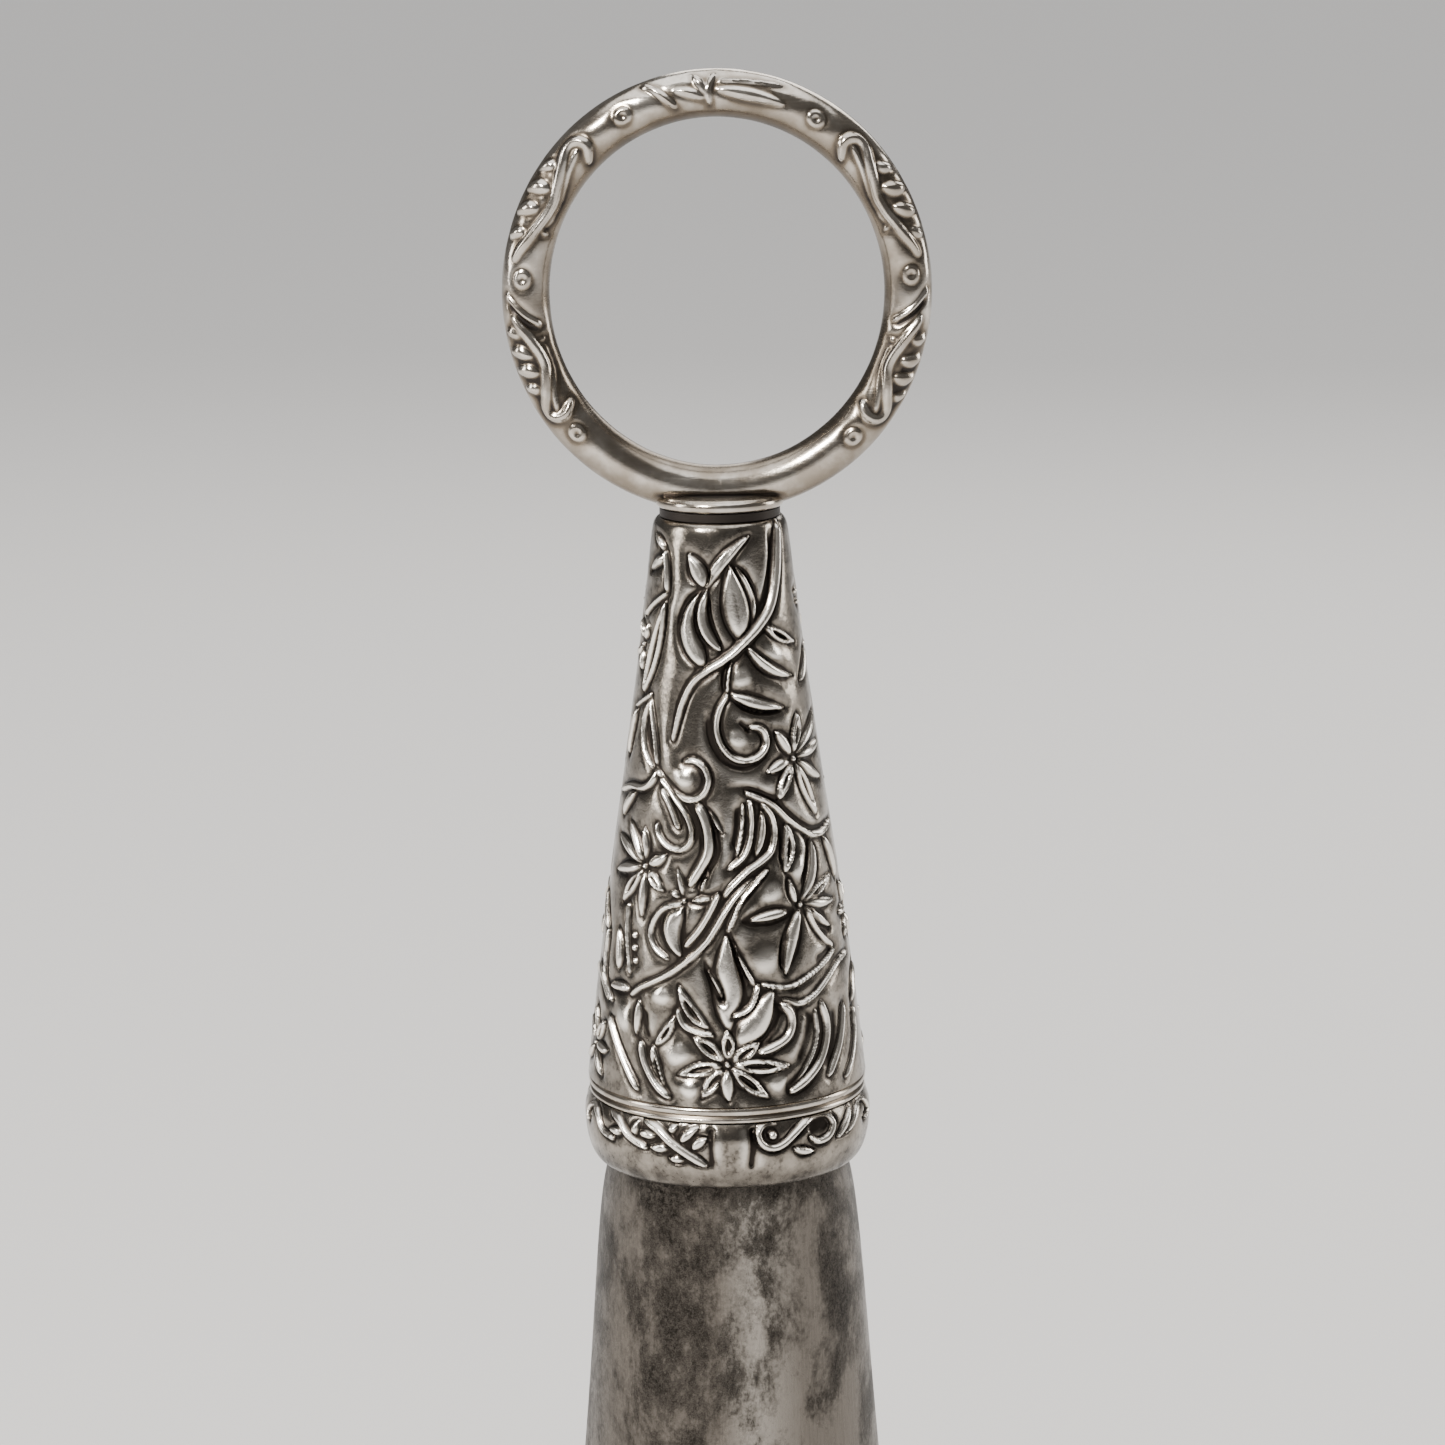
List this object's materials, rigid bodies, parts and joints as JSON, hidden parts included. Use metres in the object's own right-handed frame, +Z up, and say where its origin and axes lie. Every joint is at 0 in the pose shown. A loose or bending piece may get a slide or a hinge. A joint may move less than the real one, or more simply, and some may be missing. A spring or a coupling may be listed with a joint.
{
  "type": "shoehorn with ring-ended hollow handle",
  "caption": "Shoehorn with a suspension ring, a tapering hollow handle stamped with flowers and scrolls, an ornamented collar and a smooth trough-shaped blade.",
  "frame": {"origin": "centre of the suspension ring", "axes": "+Z up along the handle towards the ring, X across in the ring's plane, -Y towards the blade's round front, +Y towards its hollow side"},
  "size_m": [0.0352, 0.0186, 0.185],
  "materials": {
    "plated_silver": "polished silver plate, lightly tarnished in the recesses",
    "oxidised_silver": "stamped relief, oxidised dark in the ground and polished on the high parts",
    "tarnished_blade": "smooth plated sheet with mottled grey-brown tarnish and fine scratches",
    "plain_brass": "unplated sheet, dull",
    "cement_filling": "hard brown pitch cement",
    "plain_steel": "plain steel, unpolished"
  },
  "bodies": {
    "root": {"ring": "plated_silver", "neck_cuff": "plated_silver", "handle_shell_front": "oxidised_silver", "handle_shell_back": "oxidised_silver", "shell_bead": "plated_silver", "base_collar": "oxidised_silver", "end_plate": "plain_brass", "filler_core": "cement_filling", "blade": "tarnished_blade", "tang": "plain_steel", "tang_rivet_left": "plain_steel", "tang_rivet_right": "plain_steel"}
  },
  "joints": []
}
